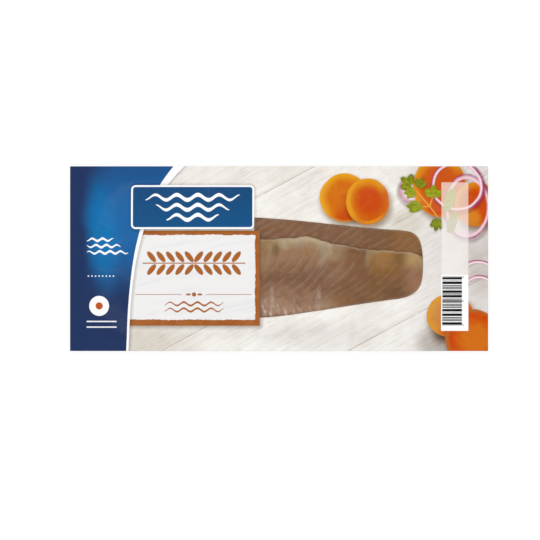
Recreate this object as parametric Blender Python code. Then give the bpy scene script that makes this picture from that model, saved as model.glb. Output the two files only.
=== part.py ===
"""A retail vacuum pack of smoked herring fillets, lying flat with its printed face up.

Two fillets lie side by side on a backing film, the front one over the belly edge of the back one. A printed top
film is drawn down over them and sealed to the backing all round, and a tongue-shaped clear window in it shows
the fish. Units are metres, +X runs along the pack towards the tails, +Y across it and +Z up. The origin is the
middle of the pack, on the table.
"""

import math

import bpy
import numpy as np

# The pack, from edge to edge, and the welded seam that runs round it
PACK_LENGTH = 0.276
PACK_WIDTH = 0.122
SEAL_WIDTH = 0.010
EDGE_LIFT = 0.0020  # the seam curls up off the table by this much at its outer edge
LIFT_REACH = 0.013  # how far in from the edge the curl begins
FILM = 0.0003
CLEARANCE = 0.0003  # between pieces that touch

# A fillet, from the head end to the tail end
FILLET_LENGTH = 0.222
FILLET_WIDTH = 0.060
FILLET_THICKNESS = 0.0072
FILLET_LIP = 0.0015  # thickness of its rim
BELLY_THINNING = 0.42  # how much thinner than its middle line the belly half is, and the back half thicker
FILLET_MIDDLE = -0.001  # where half its length lies, along X
FRONT_AXIS = -0.0170  # Y of each fillet's middle line
BACK_AXIS = 0.0172
HEAD_ROUND = 0.13  # share of the length that the rounded head end takes
HEAD_POWER = 2.4  # 2 is an ellipse, and more is squarer
TAIL_ROUND = 0.10
TAIL_POWER = 2.2
TAPER_START = 0.45  # share of the length at which the fillet starts to narrow
TAPER = 0.42  # share of the width lost by the tail
TAPER_POWER = 1.5
SECTION_POWER = 2.4  # of the rounding across
THICKEST = 0.8  # below 1 moves the thickest place towards the head
END_THINNING = 0.5  # below 1 keeps the ends thicker
SQUEEZE = 0.30  # share of its thickness that the back fillet loses under the front one
SQUEEZE_REACH = 0.012  # from none of that loss to all of it
UNDERLAY = 0.0001  # extra room between the two fillets, whose facets differ

# Waves of the trimmed belly edge: middle along X, spread and height, for each fillet
FRONT_WAVES = ((0.016, 0.013, 0.0032), (0.058, 0.009, -0.0012), (0.086, 0.006, 0.0008))
BACK_WAVES = ((-0.040, 0.016, 0.0020), (0.030, 0.012, -0.0015))

# The clear window: a tongue that narrows towards the tails, cut square where the label covers its left end
WINDOW_LEFT = -0.0127
WINDOW_NOTCH = -0.0164  # its top left corner reaches a little further, over the label's edge
NOTCH_FLOOR = 0.0184
WINDOW_TOP_LEFT = (WINDOW_NOTCH, 0.0270)
WINDOW_TOP_RIGHT = (0.0801, 0.0185)
WINDOW_TIP = (0.0953, -0.0050)
WINDOW_LOW_RIGHT = (0.0775, -0.0266)
WINDOW_LOW_LEFT = (WINDOW_LEFT, -0.0388)
TOP_ROUND = ((0.0927, 0.0175), (0.0953, 0.0089))  # the handles of its curves
LOW_ROUND = ((0.0953, -0.0162), (0.0881, -0.0250))
LOW_EDGE = ((0.0471, -0.0311), (0.0041, -0.0377))
WINDOW_GAP = 0.0003  # between the window's film and the printed film round it

# How the surfaces are divided
MAP_STEP = 0.001  # of the height maps that the shapes are read from
SEAM_LINES = (0.0, 0.005, SEAL_WIDTH, LIFT_REACH)  # distances in from the edge where both films have points
FILM_STEP = 0.005
BACKING_STEP = 0.020
FILLET_STATIONS = 34
FILLET_ACROSS = 9
END_TURN = 0.06  # radians off each end of the half turn that spaces the stations
SHARP = math.radians(40)  # edges that turn more than this stay sharp
CURVE_STEPS = 7
DRAPE_ROUNDS = 500
FILM_PULL = 0.000035  # how far each round draws the film below its neighbours' mean
FISH_PULL = 0.000012
FILM_REACH = 0.004  # the film holds its height this far past what lies under it


def material(name, colour, roughness, alpha=1.0):
    """A plain Principled material."""
    made = bpy.data.materials.new(name)
    made.use_nodes = True
    shader = made.node_tree.nodes["Principled BSDF"]
    shader.inputs["Base Color"].default_value = (*colour, 1.0)
    shader.inputs["Roughness"].default_value = roughness
    shader.inputs["Alpha"].default_value = alpha
    return made


def map_lines(length):
    """Evenly spaced coordinates from edge to edge, about MAP_STEP apart."""
    return np.linspace(-length / 2, length / 2, round(length / MAP_STEP) + 1)


MAP_X = map_lines(PACK_LENGTH)
MAP_Y = map_lines(PACK_WIDTH)
GRID_X, GRID_Y = np.meshgrid(MAP_X, MAP_Y, indexing="ij")


def read(heights, x, y):
    """The height map's value at points x, y, between its grid points by bilinear mixing."""
    column = np.clip((x - MAP_X[0]) / (MAP_X[1] - MAP_X[0]), 0, len(MAP_X) - 1.001)
    row = np.clip((y - MAP_Y[0]) / (MAP_Y[1] - MAP_Y[0]), 0, len(MAP_Y) - 1.001)
    i, j = column.astype(int), row.astype(int)
    a, b = column - i, row - j
    near = heights[i, j] * (1 - b) + heights[i, j + 1] * b
    far = heights[i + 1, j] * (1 - b) + heights[i + 1, j + 1] * b
    return near * (1 - a) + far * a


def drape(ground, pull):
    """A sheet drawn down on to ground: each point settles at its neighbours' mean less pull, or on the ground."""
    sheet = ground.copy()
    for _ in range(DRAPE_ROUNDS):
        inner = (sheet[:-2, 1:-1] + sheet[2:, 1:-1] + sheet[1:-1, :-2] + sheet[1:-1, 2:]) / 4 - pull
        sheet[1:-1, 1:-1] = np.maximum(ground[1:-1, 1:-1], inner)
    return sheet


def widened(heights, reach):
    """Each point takes the highest value within reach of it, in a diamond."""
    grown = heights.copy()
    for _ in range(round(reach / MAP_STEP)):
        highest = grown.copy()
        highest[1:] = np.maximum(highest[1:], grown[:-1])
        highest[:-1] = np.maximum(highest[:-1], grown[1:])
        highest[:, 1:] = np.maximum(highest[:, 1:], grown[:, :-1])
        highest[:, :-1] = np.maximum(highest[:, :-1], grown[:, 1:])
        grown = highest
    return grown


def edge_distance(x, y):
    """How far a point lies inside the pack's outline."""
    return np.minimum(PACK_LENGTH / 2 - np.abs(x), PACK_WIDTH / 2 - np.abs(y))


def table_gap(x, y):
    """Height of the backing film's underside: on the table, and curled up along the seam."""
    curl = np.clip(1 - edge_distance(x, y) / LIFT_REACH, 0, 1)
    return EDGE_LIFT * curl**2


class Fillet:
    """One fillet: its name, its middle line's Y, the waves of its belly edge, and the fillet that lies on it."""

    def __init__(self, name, axis, waves, over=None):
        self.name = name
        self.axis = axis
        self.waves = waves
        self.over = over

    def edges(self, x):
        """Y of its back edge and of its belly edge at x."""
        share = share_at(x)
        head = np.clip(1 - share / HEAD_ROUND, 0, 1)
        tail = np.clip(1 - (1 - share) / TAIL_ROUND, 0, 1)
        taper = 1 - TAPER * np.clip((share - TAPER_START) / (1 - TAPER_START), 0, 1) ** TAPER_POWER
        head_end = (1 - head**HEAD_POWER) ** (1 / HEAD_POWER)
        tail_end = (1 - tail**TAIL_POWER) ** (1 / TAIL_POWER)
        half = FILLET_WIDTH / 2 * taper * head_end * tail_end
        wave = sum(height * np.exp(-(((x - middle) / spread) ** 2)) for middle, spread, height in self.waves)
        return self.axis - half, self.axis + half + wave

    def across(self, x, y):
        """Where y lies, from -1 at the back edge over 0 at the middle line to 1 at the belly edge."""
        back, belly = self.edges(x)
        return (y - self.axis) / np.where(y > self.axis, belly - self.axis, self.axis - back)

    def y_at(self, x, across):
        """The Y that lies at that share across."""
        back, belly = self.edges(x)
        return self.axis + across * np.where(across > 0, belly - self.axis, self.axis - back)

    def covers(self, x, y):
        """0 clear of this fillet's belly edge and 1 well under the fillet, for what it lies on."""
        depth = np.clip((self.edges(x)[1] - y) / SQUEEZE_REACH + 0.5, 0, 1)
        return depth * depth * (3 - 2 * depth)

    def thickness(self, x, across):
        """Thickness at x and that share across."""
        along = np.sin(math.pi * share_at(x) ** THICKEST) ** END_THINNING
        section = (1 - np.abs(across) ** SECTION_POWER) * (1 - BELLY_THINNING * across)
        thick = FILLET_LIP + (FILLET_THICKNESS - FILLET_LIP) * along * section
        if self.over:
            thick = thick * (1 - SQUEEZE * self.over.covers(x, self.y_at(x, across)))
        return thick

    def top_on(self, under):
        """Height map of its upper face where it lies on the map under it, and that map elsewhere."""
        across = self.across(GRID_X, GRID_Y)
        inside = (np.abs(across) < 1) & (np.abs(GRID_X - FILLET_MIDDLE) < FILLET_LENGTH / 2)
        thick = self.thickness(GRID_X, np.clip(across, -1, 1))
        return np.where(inside, under + thick, under)

    def solid(self, under, finish):
        """The fillet's solid, lying on the map under it."""
        turn = np.linspace(END_TURN, math.pi - END_TURN, FILLET_STATIONS)
        across = np.sin(np.linspace(-math.pi / 2, math.pi / 2, FILLET_ACROSS))[None, :]
        x = FILLET_MIDDLE - FILLET_LENGTH / 2 * np.cos(turn)[:, None] + 0 * across
        y = self.y_at(x, across)
        bottom = read(under, x, y)
        return slab(self.name, x, y, bottom, bottom + self.thickness(x, across), finish)


def share_at(x):
    """How far along the fillets x lies, from just over 0 at the head ends to just under 1 at the tails."""
    return np.clip((x - FILLET_MIDDLE) / FILLET_LENGTH + 0.5, 0.001, 0.999)


def split(corners, heights):
    """A quad's two triangles, parted along its flatter diagonal so that sheets of like shape fold alike."""
    a, b, c, d = corners
    if abs(heights[a] - heights[c]) < abs(heights[b] - heights[d]):
        return [(a, b, c), (a, c, d)]
    return [(a, b, d), (b, c, d)]


def slab(name, x, y, bottom, top, finish):
    """A closed solid between two sheets over the same grid of points."""
    rows, columns = x.shape
    count = rows * columns
    points = np.concatenate(
        [np.stack([x, y, bottom], -1).reshape(-1, 3), np.stack([x, y, top], -1).reshape(-1, 3)]
    )

    def at(i, j, upper):
        return i * columns + j + (count if upper else 0)

    faces = []
    for i in range(rows - 1):
        for j in range(columns - 1):
            cell = [(i, j), (i + 1, j), (i + 1, j + 1), (i, j + 1)]
            faces += [[at(*corner, True) for corner in half] for half in split(cell, top)]
            faces += [[at(*corner, False) for corner in reversed(half)] for half in split(cell, bottom)]
    rim = [(i, 0) for i in range(rows)] + [(rows - 1, j) for j in range(1, columns)]
    rim += [(i, columns - 1) for i in range(rows - 2, -1, -1)] + [(0, j) for j in range(columns - 2, 0, -1)]
    for here, there in zip(rim, rim[1:] + rim[:1]):
        faces.append([at(*here, False), at(*there, False), at(*there, True), at(*here, True)])
    mesh = bpy.data.meshes.new(name)
    mesh.from_pydata(points.tolist(), [], faces)
    mesh.materials.append(finish)
    mesh.shade_smooth()
    mesh.set_sharp_from_angle(angle=SHARP)
    made = bpy.data.objects.new(name, mesh)
    bpy.context.collection.objects.link(made)
    return made


def film_lines(length, step):
    """Coordinates across a film: the seam's lines at both ends and about step apart between them."""
    low = -length / 2 + np.array(SEAM_LINES)
    count = round((length - 2 * LIFT_REACH) / step) + 1
    return np.concatenate([low[:-1], np.linspace(low[-1], -low[-1], count), -low[-2::-1]])


def film_grid(step):
    """Points over the whole pack."""
    return np.meshgrid(film_lines(PACK_LENGTH, step), film_lines(PACK_WIDTH, step), indexing="ij")


def bezier(start, handles, end):
    """Points along a cubic curve, without its last one."""
    corners = [np.array(p) for p in (start, *handles, end)]
    points = []
    for k in range(CURVE_STEPS):
        t = k / CURVE_STEPS
        weights = ((1 - t) ** 3, 3 * t * (1 - t) ** 2, 3 * t * t * (1 - t), t**3)
        points.append(sum(w * p for w, p in zip(weights, corners)))
    return points


def window_outline():
    """The window's edge, clockwise from its top left corner."""
    outline = [np.array(WINDOW_TOP_LEFT)]
    outline += bezier(WINDOW_TOP_RIGHT, TOP_ROUND, WINDOW_TIP)
    outline += bezier(WINDOW_TIP, LOW_ROUND, WINDOW_LOW_RIGHT)
    outline += bezier(WINDOW_LOW_RIGHT, LOW_EDGE, WINDOW_LOW_LEFT)
    outline += [np.array(WINDOW_LOW_LEFT), np.array((WINDOW_LEFT, NOTCH_FLOOR))]
    outline.append(np.array((WINDOW_NOTCH, NOTCH_FLOOR)))
    return outline


def shrunk(outline, inset):
    """A clockwise outline moved in by inset, each corner along the mean of its sides' normals."""
    moved = []
    for before, here, after in zip(outline[-1:] + outline[:-1], outline, outline[1:] + outline[:1]):
        first = (here - before) / np.linalg.norm(here - before)
        second = (after - here) / np.linalg.norm(after - here)
        inward = np.array([first[1] + second[1], -first[0] - second[0]])
        moved.append(here + inward * inset * 2 / inward.dot(inward))
    return moved


def cutter(name, outline, height):
    """An upright prism over the outline, for Booleans only."""
    count = len(outline)
    points = [(*p, -height) for p in outline] + [(*p, height) for p in outline]
    faces = [list(range(count)), list(range(2 * count - 1, count - 1, -1))]
    for k in range(count):
        after = (k + 1) % count
        faces.append([k, k + count, after + count, after])
    mesh = bpy.data.meshes.new(name)
    mesh.from_pydata([tuple(float(v) for v in p) for p in points], [], faces)
    made = bpy.data.objects.new(name, mesh)
    bpy.context.collection.objects.link(made)
    made.hide_render = True
    made.display_type = "WIRE"
    return made


def cut(target, tool, operation):
    """Adds a Boolean modifier to target."""
    boolean = target.modifiers.new(operation.lower(), "BOOLEAN")
    boolean.operation = operation
    boolean.object = tool
    boolean.solver = "EXACT"


def main():
    for old in list(bpy.data.objects):
        bpy.data.objects.remove(old)
    flesh = material("smoked_flesh", (0.26, 0.135, 0.08), 0.45)
    print_finish = material("printed_film", (0.80, 0.78, 0.74), 0.40)
    clear_finish = material("clear_film", (0.92, 0.94, 0.95), 0.08, alpha=0.2)
    backing_finish = material("backing_film", (0.78, 0.78, 0.76), 0.40)

    front = Fillet("fillet_front", FRONT_AXIS, FRONT_WAVES)
    back = Fillet("fillet_back", BACK_AXIS, BACK_WAVES, over=front)

    on_backing = table_gap(GRID_X, GRID_Y) + FILM + CLEARANCE
    back_top = back.top_on(on_backing)
    bed = np.where(back_top > on_backing, back_top + CLEARANCE + UNDERLAY, on_backing)
    under_front = drape(bed, FISH_PULL)
    front_top = front.top_on(under_front)
    fish_top = np.maximum(back_top, np.where(front_top > under_front, front_top, 0))
    in_seam = edge_distance(GRID_X, GRID_Y) < SEAL_WIDTH
    film_under = drape(np.where(in_seam, on_backing, widened(fish_top, FILM_REACH) + CLEARANCE), FILM_PULL)

    back.solid(on_backing, flesh)
    front.solid(under_front, flesh)

    x, y = film_grid(BACKING_STEP)
    slab("backing_film", x, y, table_gap(x, y), table_gap(x, y) + FILM, backing_finish)

    x, y = film_grid(FILM_STEP)
    inside = read(film_under, x, y)
    printed = slab("printed_film", x, y, inside, inside + FILM, print_finish)
    window = slab("window_film", x, y, inside, inside + FILM, clear_finish)
    outline = window_outline()
    cut(printed, cutter("window_cutter", outline, PACK_WIDTH), "DIFFERENCE")
    cut(window, cutter("window_blank", shrunk(outline, WINDOW_GAP), PACK_WIDTH), "INTERSECT")


main()
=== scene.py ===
"""The looks of a retail vacuum pack of smoked herring fillets, lying flat with its printed face up.

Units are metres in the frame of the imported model: +X runs along the pack towards the tails, +Y across it
towards the top edge of the print and +Z up. The print is drawn by formulas of X and Y in a material's nodes.
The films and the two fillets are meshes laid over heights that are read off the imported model.
"""

import math
from functools import partialmethod

import bmesh
import bpy
import numpy as np
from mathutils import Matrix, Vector
from mathutils.bvhtree import BVHTree
from mathutils.geometry import delaunay_2d_cdt


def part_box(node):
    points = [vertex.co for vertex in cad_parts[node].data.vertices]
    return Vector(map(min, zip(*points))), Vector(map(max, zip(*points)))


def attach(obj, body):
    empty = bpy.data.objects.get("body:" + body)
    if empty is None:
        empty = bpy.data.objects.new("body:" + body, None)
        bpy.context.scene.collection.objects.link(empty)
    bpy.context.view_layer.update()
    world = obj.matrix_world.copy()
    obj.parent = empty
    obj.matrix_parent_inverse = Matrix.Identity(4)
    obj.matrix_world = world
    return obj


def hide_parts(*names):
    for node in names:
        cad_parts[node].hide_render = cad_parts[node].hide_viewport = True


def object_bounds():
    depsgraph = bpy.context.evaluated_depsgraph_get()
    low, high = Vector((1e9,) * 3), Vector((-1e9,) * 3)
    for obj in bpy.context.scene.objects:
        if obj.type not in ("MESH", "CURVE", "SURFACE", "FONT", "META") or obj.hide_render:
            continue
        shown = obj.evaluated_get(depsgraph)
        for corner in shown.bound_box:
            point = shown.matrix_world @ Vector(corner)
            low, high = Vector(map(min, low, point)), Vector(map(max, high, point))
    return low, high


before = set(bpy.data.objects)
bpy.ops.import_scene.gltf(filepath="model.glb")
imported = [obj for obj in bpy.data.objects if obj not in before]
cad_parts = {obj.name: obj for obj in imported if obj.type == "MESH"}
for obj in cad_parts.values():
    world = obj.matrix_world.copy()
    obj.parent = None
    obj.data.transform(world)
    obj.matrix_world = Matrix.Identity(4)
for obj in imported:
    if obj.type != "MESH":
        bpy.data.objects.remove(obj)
CAD_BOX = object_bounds()
LOW, HIGH = CAD_BOX

# Films: thickness, how they lie on what is under them, and how finely they are divided
FILM = 0.00010
SEAL_WIDTH = 0.010
SEAL_FADE = 0.005  # from the seam's edge to where the top film stands clear of the backing
FILM_DROP = 0.00045  # how far the top film lies below the top of its solid, close on the fish
FILM_STEP = 0.0010
FILM_INSET = 0.00003  # keeps the thickened edges inside the solids' box
TOP_GAP = 0.00002  # keeps the film below the top of the solids' box
WELD_GAP = 0.00003  # between the two films in the seam
BACKING_STEP = 0.003
OUTLINE_CLEAR = 0.45  # of a step: grid points so near the window's outline give way to its own points
SAME_PLACE = 1e-7

# Maps of the heights that rays along Z find on the solids
RAY_START = 0.1
MAP_STEP = 0.001
MAP_INSET = 0.0002  # keeps the rays off the pack's very edge
MAP_END = 1.001  # lines from the last one, so that a place on it still has a line after it
MAP_SPIKE = 0.0004  # a height that far from its neighbours is a ray that slipped between two faces
FACET_BLUR = 0.0022  # rounds off the facets of the solids

# The clear window, within a millimetre of the solid's, with the handles of its curves
WINDOW_LEFT = -0.0127
WINDOW_NOTCH = -0.0164
NOTCH_FLOOR = 0.0184
WINDOW_TOP_LEFT = (WINDOW_NOTCH, 0.0270)
WINDOW_TOP_RIGHT = (0.0790, 0.0187)
WINDOW_TIP = (0.0948, -0.0050)
WINDOW_LOW_RIGHT = (0.0790, -0.0265)
WINDOW_LOW_LEFT = (WINDOW_LEFT, -0.0388)
TOP_EDGE = ((0.0154, 0.0257), (0.0472, 0.0205))
TOP_ROUND = ((0.0905, 0.0178), (0.0948, 0.0162))
LOW_ROUND = ((0.0948, -0.0171), (0.0931, -0.0239))
LOW_EDGE = ((0.0471, -0.0301), (0.0041, -0.0389))

# The camera looks straight down on the point that is the middle of the photograph
PHOTO_SPAN = 0.35683  # what the frame covers across
PHOTO_MIDDLE = (-0.0060, -0.0075)
LENS = 200.0
SENSOR = 36.0


def srgb(red, green, blue):
    """Linear colour of screen values from 0 to 255."""
    return tuple(
        (v / 255 / 12.92) if v / 255 <= 0.04045 else ((v / 255 + 0.055) / 1.055) ** 2.4
        for v in (red, green, blue)
    ) + (1.0,)


def plug(tree, value, slot):
    """Puts a number, a colour, a Field or a socket into a node's input."""
    if isinstance(value, Field):
        value = value.socket
    if isinstance(value, bpy.types.NodeSocket):
        tree.links.new(value, slot)
    else:
        slot.default_value = value


def plug_all(tree, node, inputs):
    """Fills several inputs of a node, from values in their order or by name."""
    named = inputs.items() if isinstance(inputs, dict) else enumerate(inputs)
    for key, value in named:
        plug(tree, value, node.inputs[key])


def new_node(tree, kind, inputs=(), **settings):
    """A new node with its settings and its inputs."""
    node = tree.nodes.new("ShaderNode" + kind)
    for name, value in settings.items():
        setattr(node, name, value)
    plug_all(tree, node, inputs)
    return node


class Field:
    """A number at each point of a surface, worked out by Math nodes, so that a shape can be a formula."""

    def __init__(self, tree, socket):
        self.tree = tree
        self.socket = socket

    def apply(self, operation, *others):
        node = new_node(self.tree, "Math", (self, *others), operation=operation)
        return Field(self.tree, node.outputs[0])

    __add__ = __radd__ = partialmethod(apply, "ADD")
    __mul__ = __rmul__ = partialmethod(apply, "MULTIPLY")
    __sub__ = partialmethod(apply, "SUBTRACT")
    __rsub__ = partialmethod(apply, "MULTIPLY_ADD", -1.0)
    __truediv__ = partialmethod(apply, "DIVIDE")
    __pow__ = partialmethod(apply, "POWER")
    least = partialmethod(apply, "MINIMUM")
    most = partialmethod(apply, "MAXIMUM")
    size = partialmethod(apply, "ABSOLUTE")
    sine = partialmethod(apply, "SINE")
    whole = partialmethod(apply, "FLOOR")
    part = partialmethod(apply, "FRACT")

    def ramp(self, start, end, low=0.0, high=1.0):
        """Runs smoothly from low, where the field is start, to high, where it is end."""
        node = new_node(self.tree, "MapRange", (self, start, end, low, high), interpolation_type="SMOOTHSTEP")
        return Field(self.tree, node.outputs[0])


OVAL_SPAN = 5.0  # how many half sizes from its middle an oval's distance is still known


class Paint:
    """A material's base colour, laid down layer by layer over the surface's own X and Y.

    Shapes are built from nodes that pass places and numbers on as they are: a socket that has to change its
    kind would make the renderer hold all the masks of a material at once, and there is no room for that.
    """

    def __init__(self, tree, ground):
        self.tree = tree
        place = new_node(tree, "TexCoord").outputs["Object"]
        split = new_node(tree, "SeparateXYZ", (place,))
        self.x = Field(tree, split.outputs[0])
        self.y = Field(tree, split.outputs[1])
        self.place = self.point(self.x, self.y)
        self.colour = ground

    def point(self, x, y, z=0.0):
        return new_node(self.tree, "CombineXYZ", (x, y, z)).outputs[0]

    def layer(self, painter):
        """Lays down what a function paints, in a node group of its own, as small trees build far faster."""
        group = bpy.data.node_groups.new(painter.__name__.removeprefix("paint_"), "ShaderNodeTree")
        group.interface.new_socket("Below", in_out="INPUT", socket_type="NodeSocketColor")
        group.interface.new_socket("Colour", in_out="OUTPUT", socket_type="NodeSocketColor")
        inside = Paint(group, group.nodes.new("NodeGroupInput").outputs[0])
        painter(inside)
        plug(group, inside.colour, group.nodes.new("NodeGroupOutput").inputs[0])
        self.colour = new_node(self.tree, "Group", (self.colour,), node_tree=group).outputs[0]

    def blend(self, below, above, mask, mode="MIX"):
        inputs = {"Factor": mask, 6: below, 7: above}
        return new_node(self.tree, "Mix", inputs, data_type="RGBA", blend_type=mode).outputs[2]

    def lay(self, colour, mask):
        self.colour = self.blend(self.colour, colour, mask)

    def shade(self, colour, mask):
        """Multiplies what is there by colour where mask is 1."""
        self.colour = self.blend(self.colour, colour, mask, "MULTIPLY")

    def noise(self, scale, detail, roughness=0.5, at=None):
        inputs = {"Vector": at or self.place, "Scale": scale, "Detail": detail, "Roughness": roughness}
        return Field(self.tree, new_node(self.tree, "TexNoise", inputs).outputs["Fac"])

    def attribute(self, name):
        return Field(self.tree, new_node(self.tree, "Attribute", attribute_name=name).outputs["Fac"])

    def turned(self, angle, at=(0.0, 0.0)):
        """X and Y in axes turned by angle about a point."""
        x = self.x - at[0]
        y = self.y - at[1]
        return x * math.cos(angle) + y * math.sin(angle), y * math.cos(angle) - x * math.sin(angle)

    def oval(self, centre, half, angle=0.0, wobble=None):
        """Nearly the signed distance to an ellipse, negative inside; it stops growing a few sizes away."""
        inputs = {
            "Vector": wobble or self.place,
            "Location": (*centre, 0.0),
            "Rotation": (0.0, 0.0, angle),
            "Scale": (half[0] * OVAL_SPAN, half[1] * OVAL_SPAN, 1.0),
        }
        placed = new_node(self.tree, "Mapping", inputs, vector_type="TEXTURE")
        ball = new_node(self.tree, "TexGradient", placed.outputs[:1], gradient_type="SPHERICAL")
        size = min(half)
        nearness = Field(self.tree, ball.outputs["Fac"])
        return nearness.apply("MULTIPLY_ADD", -OVAL_SPAN * size, (OVAL_SPAN - 1) * size)

    def box(self, x_range, y_range, corner=0.0):
        """Signed distance to an upright rectangle with round corners, negative inside."""
        middle = [(a + b) / 2 for a, b in (x_range, y_range)]
        half = [abs(b - a) / 2 - corner for a, b in (x_range, y_range)]
        across = (self.x - middle[0]).size() - half[0]
        up = (self.y - middle[1]).size() - half[1]
        outside = (across.most(0.0) ** 2 + up.most(0.0) ** 2) ** 0.5
        return outside + across.most(up).least(0.0) - corner

    def shaken(self, scale, amount, detail=2.0):
        """The surface's place, shifted about by noise."""
        moved = []
        for level, value in ((0.0, self.x), (1.7, self.y)):
            noise = self.noise(scale, detail, at=self.point(self.x, self.y, level))
            moved.append(value + (noise - 0.5) * (2 * amount))
        return self.point(*moved)


def fill(distance, softness=0.00025):
    """1 inside a shape and 0 outside it, over a soft edge."""
    return distance.ramp(softness / 2, -softness / 2)


def line(distance, width, softness=0.00025):
    """1 on a shape's edge line and 0 away from it."""
    return distance.size().ramp(width / 2 + softness / 2, width / 2 - softness / 2)


def new_material(name, inputs):
    """A Principled material and its shader."""
    made = bpy.data.materials.new(name)
    made.use_nodes = True
    shader = made.node_tree.nodes["Principled BSDF"]
    plug_all(made.node_tree, shader, inputs)
    return made, shader


def bump(tree, shader, height, distance):
    """Fine relief in a material, distance high."""
    node = new_node(tree, "Bump", {"Distance": distance, "Height": height})
    plug(tree, node.outputs[0], shader.inputs["Normal"])


# Boards: painted wood that rises to the right
GRAIN = math.radians(28.5)
BOARD_WIDTH = 0.0589
BOARD_SEAM = 0.0424  # where one seam lies across the grain
BOARD_LIGHT = srgb(250, 249, 246)
BOARD_GREY = srgb(229, 225, 218)
SEAM_DARK = srgb(136, 127, 118)
SCRATCH = srgb(178, 168, 155)
SEAM_FAINT = ((0.0830, 0.0235), (0.0180, 0.0120))  # centre and half sizes of a place where seams are worn
SCRATCH_LAYERS = ((1700.0, 0.34), (900.0, 0.14))  # how fine and how strong
BOARD_STAINS = (  # colour, scale, roughness, start and end of the ramp, and strength of cloudy shades
    (srgb(244, 242, 240), 22.0, 0.5, 0.42, 0.62, 0.8),
    (srgb(250, 246, 244), 130.0, 0.6, 0.46, 0.64, 0.6),
)
BOARD_SHADES = (  # centre, half sizes and colour of broad shades
    ((0.0830, 0.0240), (0.0110, 0.0090), srgb(232, 228, 220)),
    ((0.0250, -0.0512), (0.0400, 0.0090), srgb(244, 243, 243)),
)


def paint_boards(paint):
    """White painted boards with grain, scratches and seams."""
    along, across = paint.turned(GRAIN)
    bands = paint.noise(360.0, 3.0, 0.55, at=paint.point(along * 0.04, across))
    paint.lay(BOARD_GREY, bands.ramp(0.38, 0.70) * 0.45)
    for colour, scale, roughness, start, end, strength in BOARD_STAINS:
        paint.shade(colour, paint.noise(scale, 3.0, roughness).ramp(start, end) * strength)
    worn = paint.noise(70.0, 3.0, 0.55).ramp(0.36, 0.60, 0.12, 1.0)
    for scale, strength in SCRATCH_LAYERS:
        grooves = paint.noise(scale, 2.0, 0.5, at=paint.point(along * 0.055, across, scale))
        paint.lay(SCRATCH, grooves.ramp(0.56, 0.70) * worn * strength)
    glints = paint.noise(900.0, 2.0, 0.5, at=paint.point(along * 0.07, across, 1.0))
    paint.lay(srgb(252, 251, 248), glints.ramp(0.58, 0.70) * 0.25)

    board = (across - BOARD_SEAM) / BOARD_WIDTH
    paint.shade(srgb(244, 241, 237), (board.whole() * 12.9 + 0.5).sine().ramp(-1.0, 1.0) * 0.9)
    past_seam = ((board + 0.5).part() - 0.5) * BOARD_WIDTH
    shown = paint.noise(55.0, 3.0, 0.6, at=paint.point(along, board.whole())).ramp(0.40, 0.58, 0.10, 1.0)
    shown = shown * paint.oval(*SEAM_FAINT).ramp(-0.004, 0.004, 0.30, 1.0)
    paint.shade(srgb(232, 228, 221), past_seam.size().ramp(0.0014, 0.0) * 0.35)
    paint.lay(srgb(252, 251, 249), line(past_seam + 0.0007, 0.0006) * shown * 0.6)
    paint.lay(SEAM_DARK, fill(past_seam.size() - 0.00016, 0.00036) * shown)
    paint.shade(srgb(232, 228, 222), paint.x.ramp(-0.030, -0.090) * paint.y.ramp(-0.035, -0.055))
    paint.shade(srgb(236, 233, 234), paint.x.ramp(0.074, 0.108))
    for centre, half, colour in BOARD_SHADES:
        paint.shade(colour, paint.oval(centre, half).ramp(0.005, -0.005))


SHADOW_BROWN = srgb(140, 126, 108)
SHADOW_WARM = srgb(150, 126, 94)  # under carrots


def paint_shadow(paint, distance, strength, reach, colour=SHADOW_BROWN):
    """A soft printed shadow round a shape."""
    paint.shade(colour, distance.ramp(reach * 0.75, -reach * 0.5) * strength)


# Carrot slices, lit from the upper left; a wobble is how fine and how far an outline wanders
CARROT_WOBBLE = (70.0, 0.0009)
CARROT_SHADOW_OFF = (0.0012, -0.0025)
CARROT_HEART = srgb(198, 70, 4)
CARROT_FACE = srgb(206, 106, 8)
CARROT_GOLD = srgb(208, 110, 8)
CARROT_AMBER = srgb(228, 162, 30)
CARROT_SIDE = srgb(208, 118, 26)
CARROT_SHADE = srgb(197, 68, 7)
CARROT_GLEAM = srgb(214, 132, 34)
RUST = srgb(200, 82, 18)
ORANGE = srgb(206, 108, 20)
BROWN = srgb(180, 100, 38)
TAN_HEART = srgb(200, 132, 62)
TAN_FACE = srgb(204, 136, 62)


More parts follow.
